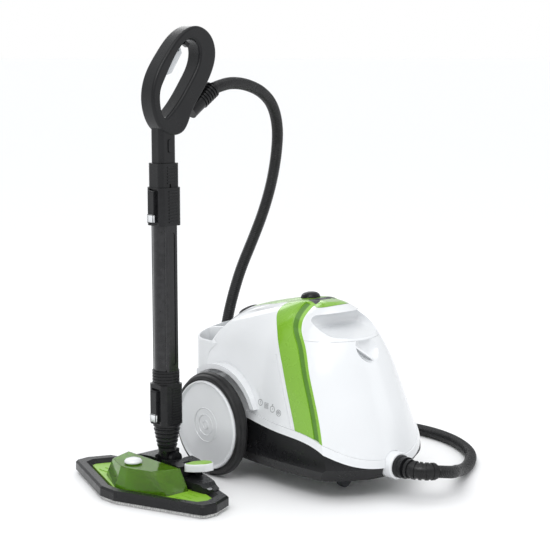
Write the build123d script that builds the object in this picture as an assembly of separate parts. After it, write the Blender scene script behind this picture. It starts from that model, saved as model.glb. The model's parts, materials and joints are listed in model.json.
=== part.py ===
"""Canister steam cleaner with hose, steam handle, tube and mop head: one solid per piece.

Millimetres, +Z up, the front of the canister faces -Y and its right side faces -X.  Inside
this file everything is placed from the point on the floor midway between the two rear
wheels.  The written parts are moved by FLOOR_SHIFT, so that the origin is the middle of
the object's footprint on the floor.
"""
import os
from math import cos, pi, radians, sin, tan

from build123d import *

# ---------------------------------------------------------------- driving dimensions
FLOOR_SHIFT = (112.5, 77.5, 0.0)
WALL = 2.5
BAND_WALL = 4.2
GAP = 0.4
SIDE = 210.0

BASE_Z = 24.0
LEDGE_Z = 268.0
TRIM_HIGH = 13.0
TYRE_R = 95.0
TYRE_IN = 138.0
TYRE_OUT = 158.0
HUB_OUT = 162.9
AXLE_R = 4.0
AXLE_Z = 95.0
SPIN_GAP = 0.08

SCOOP_WIDE = 122.0
SCOOP_HIGH = 22.0
SCOOP_END = -168.0
SCOOP_Z = 295.7
SCOOP_FLARE = 10.0
SOCKET_Z = 59.0
SOCKET_RING_R = 24.0
PLUG_R = 20.0
HOSE_D = 22.0
STEM_X = -257.0
GRIP_ROUND = 5.0
TRIGGER_PIN = (-224.5, 768.0)
BOOT_BEND_R = 40.0
BOOT_TURN = 75.0

CASTER_X = -4.0
CASTER_Y = -216.0
CASTER_R = 13.0
TRAIL = 16.0

CAP_AT = (0.0, 60.0, 274.0)
CAP_AXIS = (0.0, 0.55, 0.835)
DIAL_AT = (0.0, -107.0, 323.0)
DIAL_AXIS = (0.0, 0.10, 0.995)

NECK = (-250.0, -9.5, 55.0)
TUBE_R = 20.5
HEAD_X = -326.0
HEAD_Y = -9.5
HEAD_LOW = 7.0
HEAD_RIM = 24.0
WELL_SLOPE = 9.0
HEAD_SCREW_X = -262.0
HEAD_SCREW_Y = 125.0
PLUG_AT = (-326.0, -3.0)
PEDAL_AT = (-247.0, -86.0)
PEDAL_TURN = -26.0
PEDAL_Z = 46.0
PEDAL_PIN = (-58.0, 43.0)

# Horizontal sections of the casing: height, front y, front corner x and y, widest x and y,
# rear corner x and y, rear y.
SECTIONS = [
    (36.0, -312.0, 112.0, -266.0, 120.0, -60.0, 98.0, 66.0, 88.0),
    (62.0, -321.0, 119.0, -272.0, 123.0, -60.0, 102.0, 70.0, 93.0),
    (100.0, -312.0, 117.0, -261.0, 122.0, -60.0, 103.0, 72.0, 94.0),
    (140.0, -300.0, 112.0, -246.0, 120.0, -60.0, 103.0, 72.0, 94.0),
    (180.0, -285.0, 107.0, -230.0, 117.5, -60.0, 101.0, 70.0, 93.0),
    (225.0, -268.0, 100.0, -208.0, 112.0, -60.0, 95.0, 60.0, 88.0),
    (255.0, -253.0, 91.0, -190.0, 106.0, -66.0, 84.0, 46.0, 76.0),
    (280.0, -237.0, 79.0, -172.0, 96.0, -76.0, 68.0, 20.0, 54.0),
    (300.0, -221.0, 62.0, -158.0, 82.0, -88.0, 52.0, -22.0, 14.0),
    (312.0, -208.0, 45.0, -152.0, 65.0, -98.0, 38.0, -56.0, -30.0),
    (321.0, -193.0, 29.0, -150.0, 46.0, -112.0, 25.0, -86.0, -70.0),
    (327.0, -176.0, 14.0, -149.0, 22.0, -130.0, 12.0, -112.0, -104.0),
]
# Plan outlines of the base: at its underside, and just above where its side turns up.
KEEL = [(BASE_Z, -300.0, 106.0, -240.0, 112.0, -60.0, 94.0, 62.0, 84.0)]
HULL = [(66.0, -326.0, 124.0, -274.0, 127.0, -60.0, 106.0, 74.0, 97.0)]

# Side view lines as (y, z): front panel's edge, green band's rear edge, white-black seam.
PANEL_EDGE = [(-278, 40), (-262, 98), (-232, 175), (-211, 219), (-187, 261), (-168, 282),
              (-156, 300), (-151, 345)]
BAND_EDGE = [(-214, 40), (-198, 112), (-175, 167), (-148, 229), (-131, 261), (-112, 292),
             (-96, 312), (-84, 345)]
GROOVE_AT = (6.0, 17.0)
SEAM = [(-350, 52), (-321, 57), (-262, 88), (-150, 106), (-62, 117), (20, 122), (130, 124)]
# Front panel's top in front view, as (x, z).
PANEL_TOP = [(-130, 180), (-92, 264), (-66, 300), (-36, 318), (0, 323), (36, 318), (66, 300),
             (92, 264), (130, 180)]

# Steam handle in side view, as (x, z) outlines.
GRIP_OUT = [(-242, 625), (-223, 632), (-205, 664), (-184, 694), (-162, 728), (-152, 763),
            (-163, 795), (-193, 810), (-224, 800), (-257, 767), (-283, 728), (-292, 694),
            (-288, 662), (-273, 636)]
GRIP_IN = [(-260, 657), (-240, 676), (-208, 718), (-189, 757), (-193, 779), (-208, 787),
           (-228, 775), (-248, 748), (-265, 718), (-274, 690)]
GRIP_HALF = 18.0

# Mop head in plan, as (x, y) on one side of its centre line, from the front point round.
HEAD_HALF = [(-388, 20), (-326, 186), (-298, 188), (-256, 170), (-235, 100), (-210, 45)]
WELL_HALF = [(-372, 16), (-318, 160), (-300, 166), (-266, 152), (-252, 100), (-252, 30)]

# The hose's route from its boot round to the handle, chosen by hand.
ROUTE = [
    (30.6, -392.4, 56.0), (52.0, -397.0, 52.0), (80.0, -386.0, 44.0), (114.0, -362.0, 34.0),
    (152.0, -338.0, 22.0), (194.0, -315.0, 13.0), (238.0, -289.0, 11.0), (277.0, -257.0, 11.0),
    (308.0, -213.0, 11.0), (330.0, -162.0, 11.0), (340.0, -108.0, 11.0), (337.0, -54.0, 11.0),
    (322.0, -2.0, 11.0), (296.0, 46.0, 11.0), (258.0, 86.0, 11.0), (212.0, 116.0, 11.0),
    (160.0, 137.0, 11.0), (106.0, 150.0, 11.0), (56.0, 156.0, 15.0), (18.0, 152.0, 36.0),
    (-4.0, 143.0, 76.0), (-10.0, 136.0, 130.0), (-6.0, 134.0, 190.0), (5.0, 135.0, 247.0),
    (21.0, 135.0, 298.0), (42.0, 135.0, 348.0), (70.0, 134.0, 398.0), (95.0, 130.0, 452.0),
    (112.0, 124.0, 510.0), (114.0, 112.0, 568.0), (103.0, 96.0, 620.0), (72.0, 76.0, 664.0),
    (27.0, 56.0, 690.0), (-25.0, 35.0, 704.0), (-70.0, 17.0, 709.5), (-110.0, 2.0, 709.0),
    (-146.0, -8.0, 701.0),
]
CUFF_END = (-198.0, -9.5, 662.5)


# ---------------------------------------------------------------- helpers
def box(x0, x1, y0, y1, z0, z1):
    return Pos((x0 + x1) / 2, (y0 + y1) / 2, (z0 + z1) / 2) * Box(x1 - x0, y1 - y0, z1 - z0)


def rod(start, end, radius, inner=0.0):
    """A cylinder, or a tube, from one point to another."""
    a, b = Vector(*start), Vector(*end)
    plane = Plane(a, z_dir=b - a)
    ring = Circle(radius)
    if inner:
        ring -= Circle(inner)
    return extrude(plane * ring, (b - a).length)


def spun(profile, at=(0, 0, 0), axis=(0, 0, 1)):
    """A solid of revolution from (radius, height) points, standing at a point on an axis."""
    outline = Polyline(*[(r, 0, h) for r, h in profile], close=True)
    return Plane(Vector(*at), z_dir=Vector(*axis)).location * revolve(make_face(outline), Axis.Z)


def along(point, axis, amount):
    return tuple(p + a * amount for p, a in zip(point, axis))


def both_sides(solid):
    return [solid, mirror(solid, Plane.YZ)]


def shifted(points, dy):
    return [(y + dy, z) for y, z in points]


def behind(points):
    """Everything behind a side view line, across the full width."""
    (y0, z0), (y1, z1) = points[0], points[-1]
    line = Spline([(0, y, z) for y, z in points])
    rest = Polyline((0, y1, z1), (0, SIDE, z1), (0, SIDE, z0), (0, y0, z0))
    return extrude(make_face(Curve() + [line, rest]), SIDE, both=True)


def above_seam(lift=0.0):
    """Everything above the seam between the white casing and the black base."""
    (y0, z0), (y1, z1) = SEAM[0], SEAM[-1]
    line = Spline([(0, y, z + lift) for y, z in SEAM])
    rest = Polyline((0, y1, z1 + lift), (0, y1, 400), (0, y0, 400), (0, y0, z0 + lift))
    return extrude(make_face(Curve() + [line, rest]), SIDE, both=True)


def panel_window(grow=0.0):
    """Everything inside the front panel's outline in front view, in the front of the body."""
    x0, z0 = PANEL_TOP[0]
    line = Spline([(x, -400, z + grow) for x, z in PANEL_TOP])
    rest = Polyline((-x0, -400, z0 + grow), (-x0, -400, 0), (x0, -400, 0), (x0, -400, z0 + grow))
    return extrude(make_face(Curve() + [line, rest]), amount=270, dir=(0, 1, 0))


def outline_solid(points, y_mid, half):
    """A closed (x, z) outline pulled both ways along Y."""
    face = make_face(Spline([(x, y_mid, z) for x, z in points], periodic=True))
    return extrude(face, half, dir=(0, 1, 0), both=True)


def section_face(row, inset=0.0):
    z, front, cx, cy, mx, my, rx, ry, rear = row
    cx, mx, rx = max(cx - inset, 4), max(mx - inset, 6), max(rx - inset, 3)
    cy, ry, rear, front = cy + inset * 0.4, ry - inset * 0.4, rear - inset, front + inset
    z -= inset * max(z - 200, 0) / 130
    nose = ThreePointArc((-cx, cy, z), (0, front, z), (cx, cy, z))
    right = Spline([(cx, cy, z), (mx, my, z), (rx, ry, z)])
    tail = ThreePointArc((rx, ry, z), (0, rear, z), (-rx, ry, z))
    left = Spline([(-rx, ry, z), (-mx, my, z), (-cx, cy, z)])
    return make_face(Curve() + [nose, right, tail, left])


def casing(inset=0.0):
    """The body's outer surface as a solid, or the same surface inset."""
    return loft([section_face(row, inset) for row in SECTIONS])


SKIN = casing()
CORE = casing(WALL)
SHELL = SKIN - CORE
UPPER = above_seam(TRIM_HIGH + GAP)
FRONT_CUT = behind(PANEL_EDGE)
BAND_CUT = behind(BAND_EDGE)
TONGUE = extrude(Pos(0, -46, 0) * RectangleRounded(76, 150, 30), 400)


# ---------------------------------------------------------------- casing pieces
def trim_ring():
    """White skirt round the foot of the casing, standing a little proud of it."""
    skirt = (casing(-1.5) - CORE) & above_seam(GAP)
    skirt -= above_seam(TRIM_HIGH)
    return skirt - rod((0, -360, SOCKET_Z), (0, -290, SOCKET_Z), SOCKET_RING_R + GAP)


def front_skin(solid):
    return ((solid & UPPER) - FRONT_CUT) & panel_window()


def scoop(grow=0.0):
    """Slot shaped hollow that flares towards the front, with a rounded far end."""
    mouth = Plane((0, SCOOP_END + grow, SCOOP_Z), x_dir=(1, 0, 0), z_dir=(0, -1, 0))
    slot = RectangleRounded(SCOOP_WIDE + 2 * grow, SCOOP_HIGH + 2 * grow, SCOOP_HIGH / 2 + grow - 0.5)
    hollow = extrude(mouth * slot, 110, taper=-SCOOP_FLARE)
    far = hollow.faces().sort_by(Axis.Y)[-1]
    return fillet(far.edges(), 9 + grow)


def finger_ball(grow=0.0):
    return Pos(0, -271, 264) * Sphere(34 + grow)


def grip_panel():
    """Upper front panel: a flared scoop with a finger pocket under the carrying bar."""
    room = box(-130, 130, -400, -100, LEDGE_Z + GAP, 345)
    lining = scoop(WALL) & casing(0.6) & box(-86, 86, -300, -140, LEDGE_Z + GAP, 345)
    panel = (front_skin(SHELL) & room) + (lining & panel_window(-4))
    return panel - scoop() - control_bay(GAP)


def front_panel():
    """Lower front panel with the finger recess, its slanted fin and the hose opening."""
    room = box(-130, 130, -400, -100, 0, LEDGE_Z)
    liner = finger_ball(WALL) & casing(0.6) & box(-60, 60, -320, -200, 0, LEDGE_Z)
    panel = (front_skin(SHELL) & room) + liner
    panel -= finger_ball()
    fin = Pos(-12, -246, 249) * Rot(0, 40, 0) * Box(44, 30, 3.2)
    panel += fin & casing(1.0) & finger_ball(1.0) & box(-60, 60, -320, -200, 0, LEDGE_Z - 3)
    return panel - rod((0, -360, SOCKET_Z), (0, -250, SOCKET_Z), SOCKET_RING_R + GAP)


def groove_zone():
    """The strip beside the front panel's edge that the dark inlay lies in."""
    strip = behind(shifted(PANEL_EDGE, GROOVE_AT[0])) - behind(shifted(PANEL_EDGE, GROOVE_AT[1]))
    return strip - box(-34, 34, -400, 200, 250, 400)


def green_band():
    """Band over the casing with its groove and front rim, and the tongue along the top."""
    thick = SKIN - casing(BAND_WALL)
    front_block = ((SKIN & UPPER) - FRONT_CUT) & panel_window(GAP)
    thin = (SHELL & TONGUE & behind(shifted(BAND_EDGE, -4))) & box(-60, 60, -200, 60, 250, 400)
    strip = ((thick & UPPER) - BAND_CUT) - front_block
    strip -= groove_zone() - casing(2.4)
    band = strip + thin
    band -= rod(along(DIAL_AT, DIAL_AXIS, -30), along(DIAL_AT, DIAL_AXIS, 4), 5.4)
    band -= rod(along(DIAL_AT, DIAL_AXIS, 1.7), along(DIAL_AT, DIAL_AXIS, 16), 18.2)
    band -= control_bay(GAP)
    return band


def band_inlay():
    """Dark green strip set in the bottom of the band's groove."""
    return (groove_zone() & UPPER & (casing(1.7) - casing(2.4))) - control_bay(GAP)


def control_bay(grow=0.0):
    """Space of the small control panel on the forward slope of the top."""
    plate = RectangleRounded(56 + 2 * grow, 22 + 2 * grow, 3)
    return Pos(0, -139, 323) * Rot(16, 0, 0) * extrude(plate, 6, both=True)


def control_panel():
    """Dark panel that fills the bay, a hair under the band's surface, with button holes."""
    plate = control_bay() & (casing(0.3) - casing(4.0))
    for x in (-13, 13):
        plate -= Pos(x, -139, 323) * Rot(16, 0, 0) * Cylinder(4.6, 30)
    return plate


def panel_button(x):
    """Small round key standing a little proud of the control panel."""
    stem = fillet(Cylinder(4.2, 8).edges().sort_by(Axis.Z)[-1], 0.8)
    return Pos(x, -139, 321.5) * Rot(16, 0, 0) * stem


def rear_shell():
    """White rear casing with the wheel arch lips, cap opening and fine panel line."""
    shell = SHELL & UPPER & behind(shifted(BAND_EDGE, GAP))
    for lip in both_sides(arch_lip()):
        shell += lip
    slot = extrude(Pos(0, -46, 0) * RectangleRounded(76 + 2 * GAP, 150 + 2 * GAP, 30 + GAP), 400)
    shell -= slot & box(-60, 60, -200, 60, 250, 400)
    line = behind(shifted(BAND_EDGE, 9)) - behind(shifted(BAND_EDGE, 10.2))
    shell -= (line - casing(0.8)) & box(-SIDE, SIDE, -200, -100, 60, 240)
    shell -= rod(along(CAP_AT, CAP_AXIS, -25), along(CAP_AT, CAP_AXIS, 30), 23.5)
    return shell


def arch_lip():
    """Raised rim over one wheel, standing out of the casing's side."""
    ring = rod((104, 0, AXLE_Z), (132, 0, AXLE_Z), 108, 99)
    ring &= box(100, 140, -108, 60, 136, 240)
    return (ring - CORE) & UPPER


def caddy_block(inset=0.0):
    """Plan of the rear caddy pulled up, less the casing it hangs on."""
    x, back = 98.0 - inset, 106.5 - inset
    right_side = Line((x, 40, 150 + inset), (x, 78, 150 + inset))
    left_side = Line((-x, 78, 150 + inset), (-x, 40, 150 + inset))
    sides = right_side, left_side
    tail = Spline([(x, 78, 150 + inset), (x - 22, back - 6, 150 + inset), (0, back, 150 + inset),
                   (-x + 22, back - 6, 150 + inset), (-x, 78, 150 + inset)],
                  tangents=[(0, 1, 0), (0, -1, 0)])
    front = Line((-x, 40, 150 + inset), (x, 40, 150 + inset))
    return extrude(make_face(Curve() + [sides[0], tail, sides[1], front]), 120, dir=(0, 0, 1))


def rear_caddy():
    """White accessory tray with a wide middle pocket and two lower corner pockets."""
    block = caddy_block() - casing(-GAP)
    rim = [(-106, 224), (-96, 233), (-78, 246), (0, 255), (78, 246), (96, 233), (106, 224)]
    line = Spline([(x, 0, z) for x, z in rim])
    lid = Polyline((106, 0, 224), (106, 0, 400), (-106, 0, 400), (-106, 0, 224))
    block -= extrude(make_face(Curve() + [line, lid]), SIDE, dir=(0, 1, 0))
    pockets = caddy_block(WALL) - casing(-GAP - WALL)
    for side in (-1, 1):
        divider = Pos(side * 66, 90, 200) * Rot(0, 0, side * -24) * Box(WALL, 90, 140)
        pockets -= divider
    tray = (block - pockets).solids().sort_by(SortBy.VOLUME)[-1]
    return tray


# ---------------------------------------------------------------- base, wheels, caster
def hull(grow=0.0):
    low = section_face(KEEL[0], grow)
    high = section_face(HULL[0], grow)
    flare = loft([low, high], ruled=True)
    return flare + extrude(high, 80, dir=(0, 0, 1))


def base_pan():
    """Black base with vent slots, axle bosses, caster well and hose socket seat."""
    outer = (SKIN & hull()) - above_seam(0)
    inner = (CORE & hull(WALL)) & box(-SIDE, SIDE, -SIDE * 2, SIDE, BASE_Z + WALL, 200)
    pan = outer - inner
    for side in (-1, 1):
        pan += rod((side * 96, 0, AXLE_Z), (side * 123.5, 0, AXLE_Z), 10) & SKIN
        for k in range(7):
            pan -= box(side * 112 - 14, side * 112 + 14, -98 - 9 * k, -96.4 - 9 * k, 52, 78)
    pan += rod((CASTER_X, CASTER_Y, BASE_Z), (CASTER_X, CASTER_Y, 38.5), 37)
    pan -= rod((CASTER_X, CASTER_Y, BASE_Z - 5), (CASTER_X, CASTER_Y, 35.5), 34)
    pan += rod((CASTER_X, CASTER_Y, 36), (CASTER_X, CASTER_Y, 53), 9)
    pan -= rod((CASTER_X, CASTER_Y, 20), (CASTER_X, CASTER_Y, 60), AXLE_R + SPIN_GAP)
    pan -= rod((-140, 0, AXLE_Z), (140, 0, AXLE_Z), AXLE_R + 0.15)
    pan -= rod((0, -360, SOCKET_Z), (0, -280, SOCKET_Z), SOCKET_RING_R + GAP)
    pan += rod((0, -300, SOCKET_Z), (0, -262, SOCKET_Z), 22.5, 19.0) & SKIN
    pan += box(-4, 4, -296, -266, BASE_Z + 1, SOCKET_Z - 20)
    pan -= rod((60, 110, 60), (60, 60, 60), 8.2)
    return pan.solids().sort_by(SortBy.VOLUME)[-1]


def tyre():
    """Soft tyre with a bead beside the hub cover and a rounded tread."""
    profile = [(80, TYRE_IN + 2), (88, TYRE_IN), (92.5, TYRE_IN + 0.8), (TYRE_R, TYRE_IN + 4),
               (TYRE_R, TYRE_OUT - 13), (93.8, TYRE_OUT - 8.5), (91.2, TYRE_OUT - 6.2),
               (90.6, TYRE_OUT - 3), (89.0, TYRE_OUT), (86.2, TYRE_OUT + 1.6), (83.4, TYRE_OUT + 1.0),
               (81.8, TYRE_OUT - 1.2), (81.8, TYRE_OUT - 8), (80, TYRE_OUT - 8)]
    return spun(profile, axis=(1, 0, 0), at=(0, 0, AXLE_Z))


def wheel_core():
    """Black wheel body with a bored boss and a dished web, under the tyre."""
    r0 = AXLE_R + SPIN_GAP
    profile = [(r0, 125.5), (13, 125.5), (16, 136), (40, 140), (68, 140.5), (74, TYRE_IN + 3),
               (80, TYRE_IN + 3), (80, TYRE_OUT - 8), (74, TYRE_OUT - 8), (68, 146), (40, 147),
               (14, 149), (12, 152), (r0, 152)]
    return spun(profile, axis=(1, 0, 0), at=(0, 0, AXLE_Z))


def hub_cover():
    """White dished cover with a bright rim and three embossed rings."""
    top = [(0.01, 160.4), (6.0, 160.4)]
    for ring in (7.5, 19.0, 31.0):
        top += [(ring - 0.9, 160.0), (ring, 161.2), (ring + 1.2, 160.1)]
    top += [(50, 159.4), (68, 158.9), (74.5, 158.8), (76.6, 160.2)]
    top += [(78.6, HUB_OUT), (80.4, 162.2), (81.4, 159.4)]
    under = [(81.4, 151.5), (79, 151.5), (79, 156.5), (50, 157.0), (0.01, 157.8)]
    return spun(top + under, axis=(1, 0, 0), at=(0, 0, AXLE_Z))


def rear_axle():
    """Steel axle with a retaining head beyond each wheel's boss."""
    axle = rod((-154.5, 0, AXLE_Z), (154.5, 0, AXLE_Z), AXLE_R)
    for side in (-1, 1):
        axle += rod((side * 152.5, 0, AXLE_Z), (side * 154.5, 0, AXLE_Z), 7.5)
    return axle


def caster_fork():
    """Swivel fork, trailing to the right side of the machine at rest."""
    fork = Pos(CASTER_X, CASTER_Y, 31.4) * Cylinder(13, 3.2)
    fork += Pos(CASTER_X - TRAIL / 2, CASTER_Y, 31.4) * Box(TRAIL + 8, 20, 3.2)
    fork += rod((CASTER_X, CASTER_Y, 32), (CASTER_X, CASTER_Y, 52), AXLE_R)
    for side in (-1, 1):
        cheek = Pos(CASTER_X - TRAIL, CASTER_Y + side * 9, 22) * Box(12, 2.4, 20)
        fork += cheek
    x = CASTER_X - TRAIL
    fork -= rod((x, CASTER_Y - 12, CASTER_R), (x, CASTER_Y + 12, CASTER_R), 1.6)
    return fork


def caster_wheel():
    hub = CASTER_X - TRAIL
    wheel = rod((hub, CASTER_Y - 6.6, CASTER_R), (hub, CASTER_Y + 6.6, CASTER_R), CASTER_R, 1.8)
    return fillet(wheel.edges().filter_by(GeomType.CIRCLE).sort_by(SortBy.RADIUS)[-2:], 1.5)


def caster_pin():
    hub = CASTER_X - TRAIL
    return rod((hub, CASTER_Y - 10.4, CASTER_R), (hub, CASTER_Y + 10.4, CASTER_R), 1.5)


def cord_gland():
    """Grommet where the mains lead enters, at the rear."""
    body = spun([(4.2, 0), (10.5, 0), (10.5, 2.5), (7.6, 2.5), (7.6, 8), (10, 8), (10, 10), (4.2, 10)],
                at=(60, 97.5, 60), axis=(0, -1, 0))
    return body + spun([(4.2, 0), (6.4, 0), (5.2, 14), (4.2, 14)], at=(60, 97.5, 60), axis=(0, 1, 0))


def base_screws():
    """Six screws up through the base's underside."""
    spots = [(-70, -190), (70, -190), (-84, -20), (84, -20), (-70, 40), (70, 40)]
    shape = [(0.01, 0), (3.6, 0), (3.6, 1.6), (1.6, 2.4), (1.6, 15), (0.01, 15)]
    return [spun(shape, at=(x, y, BASE_Z + WALL + 0.1)) for x, y in spots]


# ---------------------------------------------------------------- inside the body
def boiler():
    """Domed pressure vessel with a welded flange and feet."""
    shape = [(0.01, 52), (30, 54), (46, 62), (50, 74), (50, 104), (58, 104), (58, 110), (50, 110),
             (50, 142), (44, 156), (28, 164), (0.01, 167)]
    vessel = spun(shape, at=(0, -118, 0))
    for angle in (30, 150, 270):
        x, y = 40 * cos(radians(angle)), -118 + 40 * sin(radians(angle))
        vessel += rod((x, y, BASE_Z + WALL), (x, y, 66), 5)
    return vessel


def boiler_heater():
    """Ring element clamped under the boiler, with two terminals."""
    ring = Pos(0, -118, 45) * Torus(28, 5)
    for x in (-9, 9):
        ring += rod((x, -146, 45), (x, -172, 45), 2.4)
    return ring


def solenoid_valve():
    block = box(-13, 13, -131, -105, 167.6, 186)
    block += rod((0, -118, 186), (0, -118, 214), 11)
    return block + rod((0, -131, 177), (0, -141, 177), 5)


def steam_pipe():
    """Pipe from the valve down to the hose socket."""
    corners = [(0, -141.4, 177), (0, -188, 177), (0, -222, 120), (0, -222, 59), (0, -259, 59)]
    path = FilletPolyline(*corners, radius=16)
    return sweep(Plane(path @ 0, z_dir=path % 0) * Circle(4.5), path=path)


def hose_socket():
    """Black receptacle for the hose plug."""
    return spun([(13.0, 0), (18.6, 0), (18.6, 66), (6, 66), (6, 72), (0.01, 72), (0.01, 62), (13, 62)],
                at=(0, -331.5, SOCKET_Z), axis=(0, 1, 0))


def socket_ring():
    """White collar round the socket."""
    ring = spun([(18.9, 0.8), (20.5, 0), (22.6, 0.4), (24, 2.5), (24, 22), (18.9, 22)],
                at=(0, -333.5, SOCKET_Z), axis=(0, 1, 0))
    return ring


def water_tank():
    """Moulded tank behind the boiler, with a neck that leads up to the filler cap."""
    outer = Pos(0, 20, 176) * Box(150, 86, 116)
    outer = fillet(outer.edges().filter_by(Axis.Z), 18)
    outer &= casing(WALL + 4) & box(-80, 80, -24, 64, 118, 250)
    inner = Pos(0, 20, 176) * Box(145, 81, 111) & casing(WALL + 6.5)
    tank = outer - (inner & box(-77, 77, -21, 61, 120.5, 247.5))
    low, high = along(CAP_AT, CAP_AXIS, -44), along(CAP_AT, CAP_AXIS, -3)
    tank += rod(low, high, 17)
    tank -= rod(along(CAP_AT, CAP_AXIS, -60), along(CAP_AT, CAP_AXIS, 5), 14.6)
    return tank


def tank_cap():
    """Round black filler cap with finger flutes."""
    cap = spun([(0.01, 10.5), (12, 10), (19, 8), (22.5, 4.5), (22.8, 1.6), (22.0, -1.2), (17.6, -1.2),
                (17.6, -1.6), (0.01, -1.6)], at=CAP_AT, axis=CAP_AXIS)
    plane = Plane(Vector(*CAP_AT), z_dir=Vector(*CAP_AXIS))
    for k in range(12):
        cap -= plane.location * Rot(0, 0, 30 * k) * Pos(23.4, 0, 4) * Cylinder(1.5, 12)
    return cap + spun([(8, -1.6), (13.8, -1.6), (13.8, -12), (8, -12)], at=CAP_AT, axis=CAP_AXIS)


def pump():
    body = box(52, 88, -96, -46, 34, 66)
    return body + rod((70, -96, 50), (70, -120, 50), 12) + rod((70, -46, 50), (70, -34, 50), 4)


def water_pipes():
    """Two hoses: from the tank's foot to the pump, and from the pump to the boiler."""
    runs = [
        FilletPolyline((60, 14, 117.6), (60, 14, 72), (70, -8, 50), (70, -33.6, 50), radius=9),
        FilletPolyline((70, -120.4, 50), (70, -150, 50), (70, -166, 90), (44, -162, 90),
                       (44, -150, 90), radius=5),
    ]
    return [sweep(Plane(run @ 0, z_dir=run % 0) * Circle(3.5), path=run) for run in runs]


def control_board():
    """Circuit board on two posts, low in the casing beside the boiler."""
    board = box(-92, -90.4, -110, -40, 60, 112)
    for y in (-98, -52):
        board += box(-90.4, -78, y - 7, y + 7, 70, 92)
    return board


def steam_dial():
    """Low domed knob with grip flutes and a stem."""
    knob = spun([(0.01, 13), (6, 12.8), (12, 11.3), (16, 8.2), (17.6, 4.5), (17.6, 2.2), (0.01, 2.2)],
                at=DIAL_AT, axis=DIAL_AXIS)
    plane = Plane(Vector(*DIAL_AT), z_dir=Vector(*DIAL_AXIS))
    for k in range(16):
        knob -= plane.location * Rot(0, 0, 22.5 * k) * Pos(18.7, 0, 5) * Cylinder(1.5, 12)
    return knob + rod(along(DIAL_AT, DIAL_AXIS, -26), along(DIAL_AT, DIAL_AXIS, 3), 4.9)



# ---------------------------------------------------------------- hose and its ends
def hose_plug():
    """Plug in the socket: a stepped flange, a knurled grip and a spigot."""
    return spun([(0.01, 45), (10.5, 45), (10.5, 20), (12.6, 20), (12.6, -1.9), (PLUG_R, -1.9), (PLUG_R, -7),
                 (PLUG_R - 2, -8.5), (PLUG_R - 2, -14), (PLUG_R - 1, -15), (PLUG_R - 1, -18.5),
                 (0.01, -18.5)], at=(0, -331.5, SOCKET_Z), axis=(0, 1, 0))


def boot_path():
    start = (0, -350.0, SOCKET_Z)
    turn = radians(BOOT_TURN)
    mid, end = turn / 2, turn
    drop = SOCKET_Z - ROUTE[0][2]
    middle = (BOOT_BEND_R * (1 - cos(mid)), -350.0 - BOOT_BEND_R * sin(mid), SOCKET_Z - drop / 2)
    finish = (BOOT_BEND_R * (1 - cos(end)), -350.0 - BOOT_BEND_R * sin(end), ROUTE[0][2])
    return ThreePointArc(start, middle, finish)


def strain_relief():
    """Ribbed flexible boot that bends round to the side of the machine."""
    path = boot_path()
    sleeve = sweep(Plane(path @ 0, z_dir=path % 0) * Circle(14.0), path=path)
    for k in range(5):
        t = (k + 0.5) / 5
        sleeve += Plane(path @ t, z_dir=path % t).location * Cylinder(16.8 - 1.8 * t, 5.2)
    return sleeve


def route_radii():
    """Arc radius at each inner point of the route: 0.45 of the shorter run over tan(half turn)."""
    points = [Vector(*p) for p in ROUTE]
    radii = []
    for a, b, c in zip(points, points[1:], points[2:]):
        turn = radians((b - a).get_angle(c - b))
        radii.append(0.45 * min((b - a).length, (c - b).length) / tan(turn / 2))
    return radii


def steam_hose():
    path = FilletPolyline(*ROUTE, radius=route_radii())
    tube = sweep(Plane(path @ 0, z_dir=path % 0) * Circle(HOSE_D / 2), path=path)
    section = pi * HOSE_D ** 2 / 4
    fullness = tube.volume / section / path.length
    print("hose length", round(path.length), "volume over section times length", round(fullness, 4))
    print("hose radii", [round(r) for r in route_radii()])
    return tube


def hose_cuff():
    """Ribbed cuff where the hose enters the back of the handle."""
    start, end = Vector(*ROUTE[-1]), Vector(*CUFF_END)
    axis = (end - start).normalized()
    cuff = rod(tuple(start), tuple(end), 13.5)
    for k in range(6):
        cuff += rod(tuple(start + axis * (1 + 6 * k)), tuple(start + axis * (4.4 + 6 * k)), 15.6 - 0.1 * k)
    back = Vector(*ROUTE[-2])
    return cuff - rod(tuple(start), tuple(start + (back - start).normalized() * 40), HOSE_D / 2 + 0.02)


# ---------------------------------------------------------------- steam handle
def grip_ring(half=GRIP_HALF, grow=0.0):
    """The handle's loop, with its outer and inner edges rounded."""
    outer = outline_solid(GRIP_OUT, NECK[1], half)
    inner = outline_solid(GRIP_IN, NECK[1], half + 5)
    ring = outer - inner
    edges = ring.edges().filter_by(lambda e: abs(abs(e.center().Y - NECK[1]) - half) < 0.01)
    return fillet(edges, GRIP_ROUND)


def handle_cavity():
    """Channel for the steam line and the switch, from the stem up the front of the loop."""
    points = [(-268, 585), (-248, 585), (-248, 625), (-262, 640), (-277, 668), (-281, 694),
              (-273, 722), (-256, 748), (-262, 752), (-280, 724), (-285, 694), (-281, 668),
              (-270, 644), (-268, 625)]
    face = make_face(Polyline(*[(x, NECK[1], z) for x, z in points], close=True))
    return extrude(face, 8, dir=(0, 1, 0), both=True)


def stem_solid():
    stem = Pos(STEM_X, NECK[1], 578) * extrude(RectangleRounded(35, 31, 8), 68)
    return stem


def handle_half(side):
    """One half of the loop handle and its stem, split down the middle."""
    y0 = NECK[1]
    low, high = sorted((y0 + side * GAP / 8, y0 + side * 60))
    shell = (grip_ring() + stem_solid()) & box(-320, -120, low, high, 560, 830)
    shell -= handle_cavity()
    shell -= trigger_slot()
    pin_x, pin_z = TRIGGER_PIN
    shell -= rod((pin_x, y0 - 8.5, pin_z), (pin_x, y0 + 8.5, pin_z), 1.65)
    shell -= rod((STEM_X, y0, 570), (STEM_X, y0, 592), 9)
    start, end = Vector(*ROUTE[-1]), Vector(*CUFF_END)
    axis = (end - start).normalized()
    shell -= rod(tuple(start), tuple(end + axis * 0.1), 16.0)
    if side < 0:
        shell -= button_pocket(GAP)
    return shell


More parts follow.
